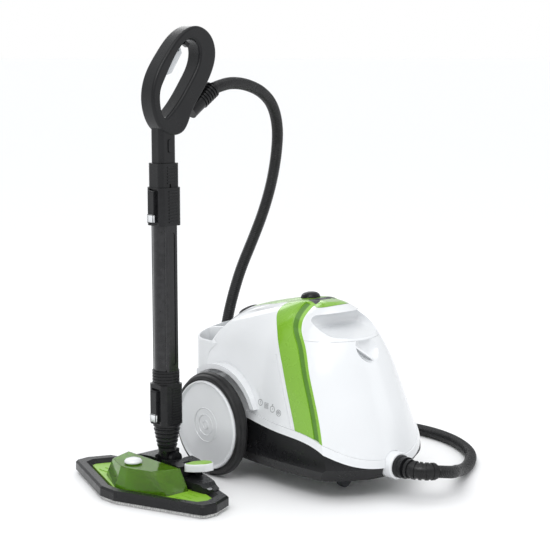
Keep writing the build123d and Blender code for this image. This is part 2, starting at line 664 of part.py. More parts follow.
def button_pocket(grow=0.0):
    slot = SlotOverall(23 + 2 * grow, 9.0 + 2 * grow, rotation=90)
    plane = Plane((STEM_X + 3, NECK[1] - 18, 607), x_dir=(1, 0, 0), z_dir=(0, 1, 0))
    return extrude(plane * slot, 9 + grow, both=True)


def release_button():
    """Oval button on the stem that frees the handle from the tube."""
    y0 = NECK[1]
    return button_pocket() & box(-300, -200, y0 - 17.2, y0 - 11.4, 580, 640)


def trigger_slot():
    """Room for the trigger's root and lock in the front limb of the loop."""
    return box(-292, -218, NECK[1] - 5.5, NECK[1] + 5.5, 735, 792) & trigger_wedge(2.0)


def trigger_wedge(grow=0.0):
    points = [(-262 - grow, 725 - grow), (-238 + grow, 728 - grow), (-213 + grow, 772 + grow),
              (-226, 782 + grow), (-248 - grow, 752)]
    face = make_face(Polyline(*[(x, NECK[1], z) for x, z in points], close=True))
    return extrude(face, 5 + grow / 2, dir=(0, 1, 0), both=True)


def steam_trigger():
    """Lever on the inner side of the loop, pivoted near its top."""
    points = [(-252, 727), (-241, 730), (-218, 764), (-221, 773), (-228, 771), (-252, 735)]
    face = make_face(Polyline(*[(x, NECK[1], z) for x, z in points], close=True))
    lever = extrude(face, 4.6, dir=(0, 1, 0), both=True)
    x, z = TRIGGER_PIN
    return lever + rod((x, NECK[1] - 8, z), (x, NECK[1] + 8, z), 1.5)


def trigger_lock():
    """Small black slide that blocks the trigger."""
    return Pos(-207, NECK[1], 778) * Rot(0, 32, 0) * box(-5, 5, -4.5, 4.5, -2.5, 5)


# ---------------------------------------------------------------- tube and couplings
def ribs(x, y, z0, z1, count, wide, deep, high):
    """Evenly spaced grip ribs standing on a flat side of a coupling."""
    step = (z1 - z0) / count
    return [Pos(x, y, z0 + step * (k + 0.5)) * Box(wide, deep, high) for k in range(count)]


def block(x, y, z0, z1, wide, deep, corner):
    return Pos(x, y, z0) * extrude(RectangleRounded(wide, deep, corner), z1 - z0)


def upper_coupler():
    """Collar between the stem and the tube, with grip ribs and a latch seat."""
    x, y = STEM_X, NECK[1]
    collar = block(x, y, 536, 577.6, 43, 37, 8) + block(x, y, 470, 536, 46, 44, 9)
    collar -= block(x, y, 556, 580, 33, 29, 6)
    for side in (-1, 1):
        for rib in ribs(x + 4, y + side * 18.8, 541, 573, 6, 20, 1.6, 2.4):
            collar += rib
        for rib in ribs(x + 4, y + side * 22.4, 474, 532, 11, 20, 1.6, 2.4):
            collar += rib
    collar -= rod((x, y, 465), (x, y, 545), TUBE_R + 0.05 - 2.0)
    collar -= rod((x, y, 465), (x, y, 530), TUBE_R + 0.05)
    collar -= box(x - 30, x - 19.9, y - 8.4, y + 8.4, 473, 534)
    collar -= box(x - 26.5, x - 19.9, y - 10.4, y + 10.4, 473, 534)
    return collar


def latch(z0, z1):
    """Sliding latch on the front of a coupling, with a white marker block at its lower end."""
    x, y = STEM_X, NECK[1]
    body = box(x - 29, x - 20.6, y - 8, y + 8, z0, z1) + box(x - 23, x - 20.6, y - 10, y + 10, z0, z1)
    body = fillet(body.edges().filter_by(Axis.Y).sort_by(Axis.X)[:2], 3)
    marker = box(x - 30.5, x - 25.6, y - 8, y + 8, z0, z0 + 14)
    return [body - box(x - 40, x - 25.6, y - 9, y + 9, z0 - 1, z0 + 14), marker]


def extension_tube():
    """Black tube with a long oval groove down each side."""
    x, y = STEM_X, NECK[1]
    tube = rod((x, y, 190), (x, y, 529), TUBE_R, TUBE_R - 2)
    for side in (-1, 1):
        tube += block(x, y + side * 17.5, 214, 470, 25, 9, 3) - rod((x, y, 180), (x, y, 540), TUBE_R - 2)
        flank = Plane((x, y + side * 22.2, 342), x_dir=(1, 0, 0), z_dir=(0, side, 0))
        groove = flank * SlotOverall(234, 12, rotation=90)
        tube -= extrude(groove, 1.6, both=True)
    return tube


def lower_coupler():
    """Ribbed coupling at the tube's lower end, with its latch seat and side bump."""
    x, y = STEM_X, NECK[1]
    collar = block(x, y, 118, 190, 46, 44, 9) + rod((x, y, 190), (x, y, 214), 24)
    for k in range(4):
        collar -= rod((x, y, 193.5 + 5.4 * k), (x, y, 196 + 5.4 * k), 27, 22.4)
    for side in (-1, 1):
        for rib in ribs(x + 6, y + side * 22.4, 122, 184, 13, 20, 1.6, 2.2):
            collar += rib
    collar += fillet(block(x + 23.5, y, 146, 186, 9, 16, 3).edges().group_by(Axis.Z)[-1], 1.5)
    collar -= rod((x, y, 188), (x, y, 220), TUBE_R + 0.05)
    collar -= rod((x, y, 110), (x, y, 192), 17)
    collar -= box(x - 30, x - 19.9, y - 8.4, y + 8.4, 121, 183)
    collar -= box(x - 26.5, x - 19.9, y - 10.4, y + 10.4, 121, 183)
    return collar


def neck():
    """Tapered ribbed neck down to the pivot knuckle."""
    x, y = STEM_X + 1.0, NECK[1]
    profile = [(6.3, 140), (15.9, 140), (15.9, 117.6), (24.5, 117.6), (24.5, 114)]
    for k in range(5):
        r = 23.5 - 1.35 * k
        z = 112 - 7.2 * k
        profile += [(r - 1.8, z), (r - 1.8, z - 2.6), (r, z - 3.6), (r - 0.4, z - 6.2)]
    profile += [(16.0, 74), (16.0, 69), (6.3, 69)]
    body = spun(profile, at=(x, y, 0))
    body += box(NECK[0] - 14, NECK[0] + 14, y - 9, y + 9, 58, 70)
    body += rod((NECK[0], y - 9, NECK[2]), (NECK[0], y + 9, NECK[2]), 14)
    body -= rod((x, y, 62), (x, y, 150), 6.3)
    body -= rod((NECK[0], y - 12, NECK[2]), (NECK[0], y + 12, NECK[2]), 4.2)
    return body


def neck_pin():
    return rod((NECK[0], NECK[1] - 20, NECK[2]), (NECK[0], NECK[1] + 20, NECK[2]), 4.0)


# ---------------------------------------------------------------- mop head
def yoke():
    """Fork that carries the neck's pin and turns in the head."""
    x, y, z = NECK
    fork = Pos(x, y, 33) * Cylinder(20, 7)
    for side in (-1, 1):
        fork += box(x - 12, x + 12, y + side * 15 - 4.5, y + side * 15 + 4.5, 34, z)
        fork += rod((x, y + side * 10.5, z), (x, y + side * 19.5, z), 12)
    fork -= rod((x, y - 25, z), (x, y + 25, z), 4.15)
    return fork + rod((x, y, 9), (x, y, 30), 8)


def head_outline(half, z, inset=0.0):
    y0 = HEAD_Y
    points = [(x, y0 + y, z) for x, y in half] + [(x, y0 - y, z) for x, y in reversed(half)]
    face = make_face(Polyline(*points, close=True))
    return offset(face, amount=-inset) if inset else face


def rounded_plate(half, z0, z1, corner, inset=0.0):
    plate = extrude(head_outline(half, z0, inset), z1 - z0, dir=(0, 0, 1))
    return fillet(plate.edges().filter_by(Axis.Z), corner)


def well_room():
    """The well's hollow, whose walls slope up and out."""
    return extrude(head_outline(WELL_HALF, 14, WELL_SLOPE), 16, dir=(0, 0, 1), taper=-45)


def mop_frame():
    """Black rimmed frame of the mop head, open in the middle of its top."""
    rim = rounded_plate(HEAD_HALF, HEAD_LOW, HEAD_RIM, 9)
    rim = chamfer(rim.edges().group_by(Axis.Z)[-1], 3.5)
    frame = rim - well_room()
    frame -= rod((NECK[0], NECK[1], 0), (NECK[0], NECK[1], 40), 8.3)
    return frame - head_screw_bores()


def head_screw_bores():
    """Bores and counterbores of the two screws between cover and frame."""
    bores = None
    for y in (HEAD_Y - HEAD_SCREW_Y, HEAD_Y + HEAD_SCREW_Y):
        bore = rod((HEAD_SCREW_X, y, 14.5), (HEAD_SCREW_X, y, 60), 2.4)
        bore += rod((HEAD_SCREW_X, y, 23.3), (HEAD_SCREW_X, y, 60), 5.0)
        bores = bore if bores is None else bores + bore
    return bores


def mop_inlay():
    """Green plate that lies in the frame's well, each side of the tank."""
    plate = rounded_plate(WELL_HALF, 14.1, 17.5, 2, inset=WELL_SLOPE + 0.6)
    for side in (-1, 1):
        for x in (-316, -302, -288):
            plate += box(x - 1, x + 1, HEAD_Y + side * 112 - 12, HEAD_Y + side * 112 + 12, 17, 18.6)
    return plate - rod((NECK[0], NECK[1], 0), (NECK[0], NECK[1], 40), 21.5)


def mop_cloth():
    """Flat microfibre pad under the frame."""
    return rounded_plate(HEAD_HALF, 0.0, HEAD_LOW - 0.1, 9, inset=4.0)


def pedal_bay():
    """Space cut in the bridge for the pedal, its arm and its trunnion."""
    bay = box(-284, -208, -122, -67, PEDAL_Z - 14, 90)
    bay += box(-254.6, -239.4, -80, PEDAL_PIN[0] + 6.5, PEDAL_Z - 14, 90)
    return bay + rod((-260.6, *PEDAL_PIN), (-233.4, *PEDAL_PIN), 2.6)


def bridge_cover():
    """Black cover over the neck's fork, reaching back to the frame's rear corners."""
    y0 = HEAD_Y
    points = [(-276, 30), (-276, 72), (-271, 118), (-258, 138), (-246, 132), (-232, 92), (-219, 44)]
    plan = [(x, y0 + y, 17.7) for x, y in points]
    plan += [(x, y0 - y, 17.7) for x, y in reversed(points)]
    body = extrude(make_face(Polyline(*plan, close=True)), 40, dir=(0, 0, 1))
    half = [(145, 17), (145, 24), (118, 28), (60, 52), (24, 56)]
    humps = [(0, y0 - y, z) for y, z in half] + [(0, y0 + y, z) for y, z in reversed(half)]
    ramp = Polyline(*humps, close=True)
    body &= extrude(Pos(-260, 0, 0) * make_face(ramp), 60, dir=(1, 0, 0), both=True)
    body = fillet(body.edges().filter_by(Axis.Z), 5)
    body -= rounded_plate(HEAD_HALF, HEAD_LOW, HEAD_RIM + 0.05, 9) - well_room()
    body -= box(-290, -252, y0 - 90, y0 + 90, 10, 20.5)
    body -= swivel_room()
    body -= pedal_bay()
    return body - head_screw_bores()


def swivel_room():
    """Clear space round the fork, neck and their turning."""
    x, y = NECK[0], NECK[1]
    room = rod((x, y, 17), (x, y, 44), 29)
    room += rod((x, y, 44), (x, y, 80), 27)
    return room + box(x, x + 60, y - 24, y + 24, 29, 80)


def tank_block(grow=0.0):
    """Tapered faceted block standing in the frame's well."""
    low = [(-361 - grow, 14), (-326 - grow, 88 + grow), (-279 + grow, 88 + grow), (-279 + grow, 20)]
    high = [(-351 - grow, 9), (-334 - grow, 56 + grow), (-286 + grow, 74 + grow), (-286 + grow, 12)]
    faces = []
    for outline, z in ((low, 17.8 - grow), (high, 56.0 + grow)):
        points = [(x, HEAD_Y + y, z) for x, y in outline]
        points += [(x, HEAD_Y - y, z) for x, y in reversed(outline)]
        faces.append(make_face(Polyline(*points, close=True)))
    return loft(faces, ruled=True)


def fragrance_tank():
    """Clear green tank on the front of the head, hollow, with a filler neck."""
    x, y = PLUG_AT
    tank = tank_block() - tank_block(-2.2)
    tank = fillet(tank.edges().group_by(Axis.Z)[-1], 1.6)
    tank += rod((x, y, 50), (x, y, 58), 13)
    return tank - rod((x, y, 40), (x, y, 60), 10.2)


def tank_plug():
    """White push-in plug with a soft domed top."""
    x, y = PLUG_AT
    dome = [(0.01, 66), (8, 65.4), (13.5, 63.4), (15.6, 60.6), (15.6, 58.4)]
    return spun(dome + [(9.9, 58.4), (9.9, 48), (0.01, 48)], at=(x, y, 0))


def pedal_outline():
    """Leaf shaped outline of the release pedal, seen from above."""
    (cx, cy), turn = PEDAL_AT, radians(PEDAL_TURN)
    shape = [(-30, -1), (-9, 12), (13, 14), (26, 6), (26, -8), (10, -14), (-11, -11)]
    return [(cx + u * cos(turn) - v * sin(turn), cy + u * sin(turn) + v * cos(turn)) for u, v in shape]


def pedal_slab(z0, z1, inset):
    """Upright slab with the pedal's outline and rounded corners."""
    face = make_face(Polyline(*[(x, y, z0) for x, y in pedal_outline()], close=True))
    slab = extrude(face, z1 - z0, dir=(0, 0, 1))
    slab = fillet(slab.edges().filter_by(Axis.Z), 5)
    if inset:
        slab = extrude(offset(slab.faces().sort_by(Axis.Z)[0], amount=-inset), z1 - z0, dir=(0, 0, 1))
    return slab


def pedal_lever():
    """White foot pedal with its arm and trunnion."""
    pad = pedal_slab(PEDAL_Z, PEDAL_Z + 13, 0)
    pad = chamfer(pad.edges().group_by(Axis.Z)[-1], 1.0)
    pad += box(-254, -240, -78, PEDAL_PIN[0] + 4, PEDAL_Z - 4, PEDAL_Z + 6)
    pad += rod((-254, *PEDAL_PIN), (-240, *PEDAL_PIN), 5)
    pad += rod((-260, *PEDAL_PIN), (-234, *PEDAL_PIN), 2.4)
    return pad - pedal_slab(PEDAL_Z + 11.4, PEDAL_Z + 15, 2.6)


def pedal_pad():
    """Green grip pad let into the pedal's top."""
    return pedal_slab(PEDAL_Z + 11.5, PEDAL_Z + 13.8, 2.7)


def head_screws():
    shape = [(0.01, 27.4), (1.8, 27.4), (4.6, 27.2), (4.8, 26.0), (2.3, 23.4), (2.3, 17.9), (0.01, 17.9)]
    return [spun(shape, at=(HEAD_SCREW_X, HEAD_Y + side * HEAD_SCREW_Y, 0)) for side in (-1, 1)]


# ---------------------------------------------------------------- every piece by name
PIECES = {
    "base_pan": base_pan, "lower_trim": trim_ring, "rear_shell": rear_shell,
    "green_band": green_band, "band_inlay": band_inlay, "grip_panel": grip_panel,
    "front_panel": front_panel, "rear_caddy": rear_caddy, "control_panel": control_panel,
    "panel_button_right": lambda: panel_button(-13), "panel_button_left": lambda: panel_button(13),
    "socket_ring": socket_ring, "hose_socket": hose_socket, "boiler": boiler,
    "boiler_heater": boiler_heater, "solenoid_valve": solenoid_valve, "steam_pipe": steam_pipe,
    "water_tank": water_tank, "filler_cap": tank_cap, "pump": pump, "water_pipes": water_pipes,
    "control_board": control_board, "steam_dial": steam_dial, "rear_axle": rear_axle,
    "cord_gland": cord_gland, "base_screws": base_screws, "hose_plug": hose_plug,
    "hose_boot": strain_relief, "steam_hose": steam_hose, "caster_fork": caster_fork,
    "caster_wheel": caster_wheel, "caster_pin": caster_pin,
}
WHEEL_PIECES = {"tyre": tyre, "wheel_core": wheel_core, "hub_cover": hub_cover}
WAND_PIECES = {
    "handle_right_half": lambda: handle_half(-1), "handle_left_half": lambda: handle_half(1),
    "steam_trigger": steam_trigger, "trigger_lock": trigger_lock, "release_button": release_button,
    "hose_cuff": hose_cuff, "upper_coupler": upper_coupler, "upper_latch": lambda: latch(476, 531),
    "extension_tube": extension_tube, "lower_coupler": lower_coupler,
    "lower_latch": lambda: latch(124, 180), "neck": neck,
}
HEAD_PIECES = {
    "neck_yoke": lambda: [yoke(), neck_pin()], "mop_frame": mop_frame, "mop_inlay": mop_inlay,
    "mop_cloth": mop_cloth, "bridge_cover": bridge_cover, "fragrance_tank": fragrance_tank,
    "tank_plug": tank_plug, "pedal_lever": pedal_lever, "pedal_pad": pedal_pad,
    "head_screws": head_screws,
}


def write(name, made):
    solids = made if isinstance(made, list) else made.solids()
    placed = [Pos(*FLOOR_SHIFT) * solid for solid in solids]
    part = Compound(children=placed) if len(placed) > 1 else placed[0]
    part.label = name
    export_step(part, os.path.join("parts", name + ".step"))


def main():
    os.makedirs("parts", exist_ok=True)
    for name, make in {**PIECES, **WAND_PIECES, **HEAD_PIECES}.items():
        write(name, make())
    for name, make in WHEEL_PIECES.items():
        left, right = both_sides(make())
        write(name + "_left", left)
        write(name + "_right", right)


if __name__ == "__main__":
    main()
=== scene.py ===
"""Looks of the canister steam cleaner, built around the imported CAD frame."""
import json
import math

import bmesh
import bpy
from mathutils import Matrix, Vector
from mathutils.bvhtree import BVHTree


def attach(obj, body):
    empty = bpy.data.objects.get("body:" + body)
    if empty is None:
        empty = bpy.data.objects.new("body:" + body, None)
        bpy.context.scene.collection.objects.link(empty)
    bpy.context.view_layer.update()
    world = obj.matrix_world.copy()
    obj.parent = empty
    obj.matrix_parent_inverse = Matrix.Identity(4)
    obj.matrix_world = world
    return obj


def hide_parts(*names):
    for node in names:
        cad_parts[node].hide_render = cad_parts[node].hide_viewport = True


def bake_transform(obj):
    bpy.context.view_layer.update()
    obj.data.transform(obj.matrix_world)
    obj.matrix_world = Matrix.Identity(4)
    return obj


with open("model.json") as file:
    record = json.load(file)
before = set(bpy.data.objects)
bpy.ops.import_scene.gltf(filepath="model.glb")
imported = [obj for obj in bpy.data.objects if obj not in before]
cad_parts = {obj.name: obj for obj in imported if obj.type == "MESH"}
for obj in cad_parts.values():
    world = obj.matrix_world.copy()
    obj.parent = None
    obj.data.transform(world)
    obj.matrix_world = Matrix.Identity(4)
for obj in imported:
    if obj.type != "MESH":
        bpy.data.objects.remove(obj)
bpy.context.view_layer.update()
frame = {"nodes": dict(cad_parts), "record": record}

NODES = frame["nodes"]
SHIFT = Vector((0.1125, 0.0775, 0.0))
MM = 0.001


def row(x, y, z):
    """A point given in millimetres from the middle of the rear axle's floor line."""
    return Vector((x, y, z)) * MM + SHIFT


# ---------------------------------------------------------------- camera
CAMERA_TARGET = Vector((0.0627, 0.0118, 0.3667))
CAMERA_AZIMUTH = math.radians(-41.9)
CAMERA_RISE = math.radians(9.1)
CAMERA_DISTANCE = 2.7068

camera = bpy.data.objects.new("camera", bpy.data.cameras.new("camera"))
bpy.context.scene.collection.objects.link(camera)
back = Vector((math.sin(CAMERA_AZIMUTH) * math.cos(CAMERA_RISE),
               -math.cos(CAMERA_AZIMUTH) * math.cos(CAMERA_RISE), math.sin(CAMERA_RISE)))
camera.location = CAMERA_TARGET + back * CAMERA_DISTANCE
camera.rotation_euler = (-back).to_track_quat("-Z", "Y").to_euler()
camera.data.sensor_width = 36.0
camera.data.lens = 98.18
camera.data.clip_end = 50.0
bpy.context.scene.camera = camera

# ---------------------------------------------------------------- steam hose
HOSE_D = 0.022
HOSE_ROUTE = [
    (30.6, -392.4, 56), (52, -397, 52), (80, -386, 44), (114, -362, 34), (152, -338, 22),
    (194, -315, 13), (238, -289, 11), (277, -257, 11), (308, -213, 11), (330, -162, 11),
    (340, -108, 11), (337, -54, 11), (322, -2, 11), (296, 46, 11), (258, 86, 11), (212, 116, 11),
    (160, 137, 11), (106, 150, 11), (56, 156, 15), (18, 152, 36), (-4, 143, 76), (-10, 136, 130),
    (-6, 134, 190), (5, 135, 247), (21, 135, 298), (42, 135, 348), (70, 134, 398), (95, 130, 452),
    (112, 124, 510), (114, 112, 568), (103, 96, 620), (72, 76, 664), (27, 56, 690), (-25, 35, 704),
    (-70, 17, 709.5), (-110, 2, 709), (-146, -8, 701),
]
RIB_PITCH = 0.0036
RIB_DEPTH = 0.0011
RIB_SIDES = 22


def link(obj):
    """Puts an object in the scene and returns it."""
    bpy.context.scene.collection.objects.link(obj)
    return obj


def mesh_object(name, verts, faces, smooth=True):
    """A mesh object in the scene from its points and faces."""
    mesh = bpy.data.meshes.new(name)
    mesh.from_pydata([tuple(v) for v in verts], [], faces)
    mesh.validate()
    mesh.update()
    if smooth:
        mesh.polygons.foreach_set("use_smooth", [True] * len(mesh.polygons))
    return link(bpy.data.objects.new(name, mesh))


def nurbs_points(points, resolution=24):
    """Points read from the route's own NURBS spline."""
    curve = bpy.data.curves.new("route", "CURVE")
    curve.dimensions = "3D"
    spline = curve.splines.new("NURBS")
    spline.points.add(len(points) - 1)
    for p, co in zip(spline.points, points):
        p.co = (*co, 1.0)
    spline.order_u = 3
    spline.use_endpoint_u = True
    spline.resolution_u = resolution
    holder = link(bpy.data.objects.new("route", curve))
    bpy.context.view_layer.update()
    mesh = bpy.data.meshes.new_from_object(holder)
    line = [v.co.copy() for v in mesh.vertices]
    bpy.data.objects.remove(holder)
    return line


def even_points(line, step):
    """The same line walked at an even step."""
    out, left = [line[0]], step
    for a, b in zip(line, line[1:]):
        run = (b - a).length
        at = left
        while at <= run:
            out.append(a.lerp(b, at / run))
            at += step
        left = at - run
    if (out[-1] - line[-1]).length > step * 0.3:
        out.append(line[-1])
    return out


def tube(name, line, radius_at, sides):
    """A capped tube along a line, with the radius given by the distance walked."""
    verts, faces = [], []
    tangent = (line[1] - line[0]).normalized()
    side = tangent.orthogonal().normalized()
    walked = 0.0
    for k, p in enumerate(line):
        ahead = line[min(k + 1, len(line) - 1)] - line[max(k - 1, 0)]
        tangent = ahead.normalized()
        side = (side - tangent * side.dot(tangent)).normalized()
        up = tangent.cross(side)
        if k:
            walked += (p - line[k - 1]).length
        r = radius_at(walked)
        for j in range(sides):
            a = 2 * math.pi * j / sides
            verts.append(p + side * (r * math.cos(a)) + up * (r * math.sin(a)))
        if k:
            base = (k - 1) * sides
            for j in range(sides):
                nxt = (j + 1) % sides
                faces.append((base + j, base + nxt, base + sides + nxt, base + sides + j))
    last = (len(line) - 1) * sides
    faces.append(tuple(reversed(range(sides))))
    faces.append(tuple(last + j for j in range(sides)))
    return mesh_object(name, verts, faces)


def corrugation(walked):
    """Rounded crests and narrower valleys of a spiral-look ribbed hose."""
    wave = abs(math.cos(math.pi * walked / RIB_PITCH))
    return HOSE_D / 2 - RIB_DEPTH * (1 - wave ** 0.7)


STEPS_PER_RIB = 6
hose_line = even_points(nurbs_points([row(*p) for p in HOSE_ROUTE]), RIB_PITCH / STEPS_PER_RIB)
hose = tube("steam_hose_ribbed", hose_line, corrugation, RIB_SIDES)
hose_length = sum((b - a).length for a, b in zip(hose_line, hose_line[1:]))
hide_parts("steam_hose")
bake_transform(hose)


# ---------------------------------------------------------------- materials
def shader(name):
    """A new material with its nodes, its links and its main shader."""
    mat = bpy.data.materials.new(name)
    mat.use_nodes = True
    return mat, mat.node_tree.nodes, mat.node_tree.links, mat.node_tree.nodes["Principled BSDF"]


def coords(nodes, links, scale, stretch=(1, 1, 1)):
    """Object coordinates, scaled and stretched."""
    place = nodes.new("ShaderNodeTexCoord")
    size = nodes.new("ShaderNodeMapping")
    size.inputs["Scale"].default_value = [scale * s for s in stretch]
    links.new(place.outputs["Object"], size.inputs["Vector"])
    return size.outputs["Vector"]


def noise(nodes, links, scale, detail=3.0, rough=0.5, stretch=(1, 1, 1)):
    """Cloudy texture value from 0 to 1."""
    tex = nodes.new("ShaderNodeTexNoise")
    tex.inputs["Scale"].default_value = 1.0
    tex.inputs["Detail"].default_value = detail
    tex.inputs["Roughness"].default_value = rough
    links.new(coords(nodes, links, scale, stretch), tex.inputs["Vector"])
    return tex.outputs["Fac"]


def spread(nodes, links, value, low, high, cut_low=0.3, cut_high=0.7):
    """Maps a 0..1 texture value between two numbers."""
    m = nodes.new("ShaderNodeMapRange")
    m.inputs["From Min"].default_value = cut_low
    m.inputs["From Max"].default_value = cut_high
    m.inputs["To Min"].default_value = low
    m.inputs["To Max"].default_value = high
    links.new(value, m.inputs["Value"])
    return m.outputs["Result"]


def two_tone(nodes, links, factor, dark, light):
    """Blend of two colours by a factor."""
    mix = nodes.new("ShaderNodeMix")
    mix.data_type = "RGBA"
    mix.inputs["A"].default_value = (*dark, 1)
    mix.inputs["B"].default_value = (*light, 1)
    links.new(factor, mix.inputs["Factor"])
    return mix.outputs["Result"]


def bumps(nodes, links, bsdf, layers):
    """Chained bump layers: (height output, strength, distance)."""
    normal = None
    for height, strength, distance in layers:
        b = nodes.new("ShaderNodeBump")
        b.inputs["Strength"].default_value = strength
        b.inputs["Distance"].default_value = distance
        links.new(height, b.inputs["Height"])
        if normal is not None:
            links.new(normal, b.inputs["Normal"])
        normal = b.outputs["Normal"]
    links.new(normal, bsdf.inputs["Normal"])


def worn(nodes, links):
    """0 on flats, 1 on sharp convex edges, broken up by noise."""
    geo = nodes.new("ShaderNodeNewGeometry")
    edge = spread(nodes, links, geo.outputs["Pointiness"], 0.0, 1.0, 0.52, 0.62)
    breakup = spread(nodes, links, noise(nodes, links, 90, 4), 0.0, 1.0, 0.42, 0.62)
    m = nodes.new("ShaderNodeMath")
    m.operation = "MULTIPLY"
    links.new(edge, m.inputs[0])
    links.new(breakup, m.inputs[1])
    return m.outputs["Value"]


def plastic(name, colour, shade=0.94, rough=(0.2, 0.3), grain=900.0, grain_bump=0.08, coat=0.0,
            edge=1.06, specular=0.5):
    """Moulded plastic: slight colour drift, fine mould grain, orange peel and lighter worn edges."""
    mat, nodes, links, bsdf = shader(name)
    dark = [c * shade for c in colour]
    drift = spread(nodes, links, noise(nodes, links, 9, 2), 0.0, 1.0)
    body = two_tone(nodes, links, drift, dark, colour)
    rub = nodes.new("ShaderNodeMix")
    rub.data_type = "RGBA"
    rub.inputs["B"].default_value = (*[min(1.0, c * edge + 0.006) for c in colour], 1)
    links.new(body, rub.inputs["A"])
    links.new(worn(nodes, links), rub.inputs["Factor"])
    links.new(rub.outputs["Result"], bsdf.inputs["Base Color"])
    haze = spread(nodes, links, noise(nodes, links, 24, 4, 0.6), rough[0], rough[1])
    links.new(haze, bsdf.inputs["Roughness"])
    bsdf.inputs["Specular IOR Level"].default_value = specular
    bsdf.inputs["Coat Weight"].default_value = coat
    bsdf.inputs["Coat Roughness"].default_value = 0.08
    fine = noise(nodes, links, grain, 2)
    peel = noise(nodes, links, 60, 1)
    bumps(nodes, links, bsdf, [(peel, 0.05, 0.0006), (fine, grain_bump, 0.0003)])
    return mat


def grained(name, colour, rough, cell=2200.0, bump=0.09, edge=1.12):
    """Spark-eroded black plastic: pebbled grain with a soft sheen."""
    mat, nodes, links, bsdf = shader(name)
    pebbles = nodes.new("ShaderNodeTexVoronoi")
    pebbles.inputs["Scale"].default_value = 1.0
    links.new(coords(nodes, links, cell), pebbles.inputs["Vector"])
    drift = spread(nodes, links, noise(nodes, links, 14, 3), 0.0, 1.0)
    body = two_tone(nodes, links, drift, [c * 0.8 for c in colour], [c * 1.15 for c in colour])
    rub = nodes.new("ShaderNodeMix")
    rub.data_type = "RGBA"
    rub.inputs["B"].default_value = (*[c * edge + 0.002 for c in colour], 1)
    links.new(body, rub.inputs["A"])
    links.new(worn(nodes, links), rub.inputs["Factor"])
    links.new(rub.outputs["Result"], bsdf.inputs["Base Color"])
    haze = spread(nodes, links, noise(nodes, links, 40, 4), rough[0], rough[1])
    links.new(haze, bsdf.inputs["Roughness"])
    bsdf.inputs["Specular IOR Level"].default_value = 0.26
    ripple = noise(nodes, links, 300, 3)
    bumps(nodes, links, bsdf, [(pebbles.outputs["Distance"], bump, 0.0004), (ripple, 0.06, 0.0004)])
    return mat


def pearl(name, colour, flake):
    """Gloss lacquered plastic with fine flakes under a clear coat."""
    mat, nodes, links, bsdf = shader(name)
    flakes = nodes.new("ShaderNodeTexVoronoi")
    flakes.inputs["Scale"].default_value = 1.0
    links.new(coords(nodes, links, 2600.0), flakes.inputs["Vector"])
    glint = spread(nodes, links, flakes.outputs["Color"], 0.0, 1.0, 0.2, 0.9)
    links.new(two_tone(nodes, links, glint, colour, flake), bsdf.inputs["Base Color"])
    links.new(spread(nodes, links, noise(nodes, links, 30, 3), 0.22, 0.32), bsdf.inputs["Roughness"])
    bsdf.inputs["Metallic"].default_value = 0.15
    bsdf.inputs["Coat Weight"].default_value = 0.7
    bsdf.inputs["Coat Roughness"].default_value = 0.05
    peel = noise(nodes, links, 55, 1)
    bumps(nodes, links, bsdf, [(peel, 0.015, 0.0006), (flakes.outputs["Distance"], 0.015, 0.0003)])
    return mat


def clear(name, colour, rough, weight):
    """Tinted clear plastic with moulding streaks."""
    mat, nodes, links, bsdf = shader(name)
    streak = spread(nodes, links, noise(nodes, links, 30, 4, 0.6, (1, 0.3, 1)), 0.0, 1.0)
    links.new(two_tone(nodes, links, streak, [c * 0.82 for c in colour], colour), bsdf.inputs["Base Color"])
    haze = spread(nodes, links, noise(nodes, links, 50, 3), rough[0], rough[1])
    links.new(haze, bsdf.inputs["Roughness"])
    bsdf.inputs["Transmission Weight"].default_value = weight
    bsdf.inputs["IOR"].default_value = 1.46
    bumps(nodes, links, bsdf, [(noise(nodes, links, 70, 2), 0.12, 0.0008)])
    return mat


def metal(name, colour, rough, stretch=(1, 1, 1), cast=False):
    """Bare metal, either brushed along one way or rough as cast."""
    mat, nodes, links, bsdf = shader(name)
    lines = noise(nodes, links, 500 if not cast else 160, 3, 0.6, stretch)
    links.new(two_tone(nodes, links, lines, [c * 0.8 for c in colour], colour), bsdf.inputs["Base Color"])
    links.new(spread(nodes, links, lines, rough[0], rough[1]), bsdf.inputs["Roughness"])
    bsdf.inputs["Metallic"].default_value = 1.0
    bumps(nodes, links, bsdf, [(lines, 0.3 if cast else 0.1, 0.0004)])
    return mat


def rubber(name, colour, rough):
    """Matt rubber with a trace of dust."""
    mat, nodes, links, bsdf = shader(name)
    dust = spread(nodes, links, noise(nodes, links, 35, 5, 0.65), 0.0, 1.0, 0.45, 0.75)
    dusty = [c * 1.6 + 0.004 for c in colour]
    links.new(two_tone(nodes, links, dust, colour, dusty), bsdf.inputs["Base Color"])
    haze = spread(nodes, links, noise(nodes, links, 80, 3), rough[0], rough[1])
    links.new(haze, bsdf.inputs["Roughness"])
    bsdf.inputs["Specular IOR Level"].default_value = 0.3
    fine = noise(nodes, links, 700, 3)
    coarse = noise(nodes, links, 120, 2)
    bumps(nodes, links, bsdf, [(fine, 0.2, 0.0004), (coarse, 0.08, 0.0006)])
    return mat


def microfibre(name, colour):
    """Looped microfibre: tufts over a knitted ground, with painted shade darkening the gaps between tufts.
    """
    mat, nodes, links, bsdf = shader(name)
    tufts = nodes.new("ShaderNodeTexVoronoi")
    tufts.inputs["Scale"].default_value = 1.0
    links.new(coords(nodes, links, 420.0, (1, 1, 0.7)), tufts.inputs["Vector"])
    # painted shade: the colour falls to 0.6 of the cloth's colour in the gaps between tufts, where shade
    # falls
    shade = spread(nodes, links, tufts.outputs["Distance"], 1.0, 0.0, 0.1, 0.7)
    links.new(two_tone(nodes, links, shade, [c * 0.6 for c in colour], colour), bsdf.inputs["Base Color"])
    bsdf.inputs["Roughness"].default_value = 0.92
    bsdf.inputs["Sheen Weight"].default_value = 0.5
    fibres = noise(nodes, links, 2500, 2)
    bumps(nodes, links, bsdf, [(tufts.outputs["Distance"], 0.8, 0.0012), (fibres, 0.3, 0.0003)])
    return mat


